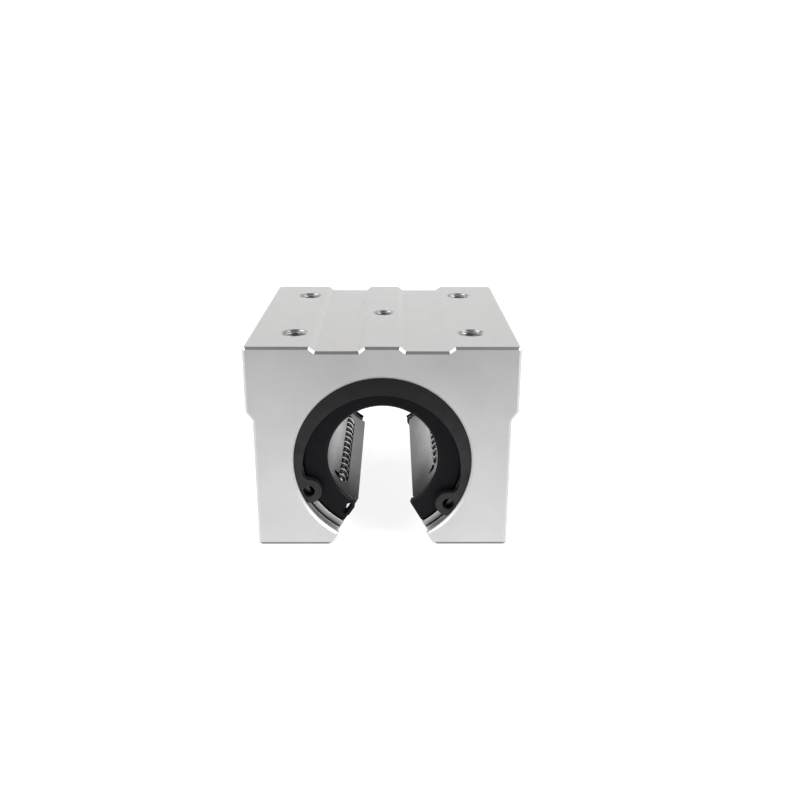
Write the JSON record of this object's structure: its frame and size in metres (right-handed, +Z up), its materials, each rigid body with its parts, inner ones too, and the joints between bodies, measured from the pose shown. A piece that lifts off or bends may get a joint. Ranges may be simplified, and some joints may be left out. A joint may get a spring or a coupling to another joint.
{
  "type": "open linear bearing block",
  "caption": "Open linear ball bearing in an aluminium block with a flat bolt-on top, sliding along a round shaft held on a continuous rail through its slotted underside.",
  "frame": {"origin": "on the shaft axis, halfway along the block", "axes": "+Y along the shaft, away from the end with the front seal and front circlip; +Z up, out of the bolt-on top face; the open mouth points to -Z"},
  "size_m": [0.06, 0.065, 0.047],
  "materials": {
    "housing_aluminium": "fine satin, natural anodised extrusion with sawn and milled ends",
    "sleeve_steel": "hardened and ground bearing steel",
    "cage_polymer": "grey moulded bearing cage, matt",
    "seal_rubber": "black nitrile rubber, matt",
    "circlip_steel": "phosphated and oiled spring steel",
    "ball_steel": "polished bearing steel",
    "screw_steel": "black-oxide steel"
  },
  "bodies": {
    "root": {"housing": "housing_aluminium", "bearing_sleeve": "sleeve_steel", "ball_cage": "cage_polymer", "front_seal": "seal_rubber", "rear_seal": "seal_rubber", "front_circlip": "circlip_steel", "rear_circlip": "circlip_steel", "locating_screw": "screw_steel", "adjusting_screw": "screw_steel", "load_balls_1": "ball_steel", "return_balls_1": "ball_steel", "load_balls_2": "ball_steel", "return_balls_2": "ball_steel", "load_balls_3": "ball_steel", "return_balls_3": "ball_steel", "load_balls_4": "ball_steel", "return_balls_4": "ball_steel", "load_balls_5": "ball_steel", "return_balls_5": "ball_steel"}
  },
  "joints": []
}
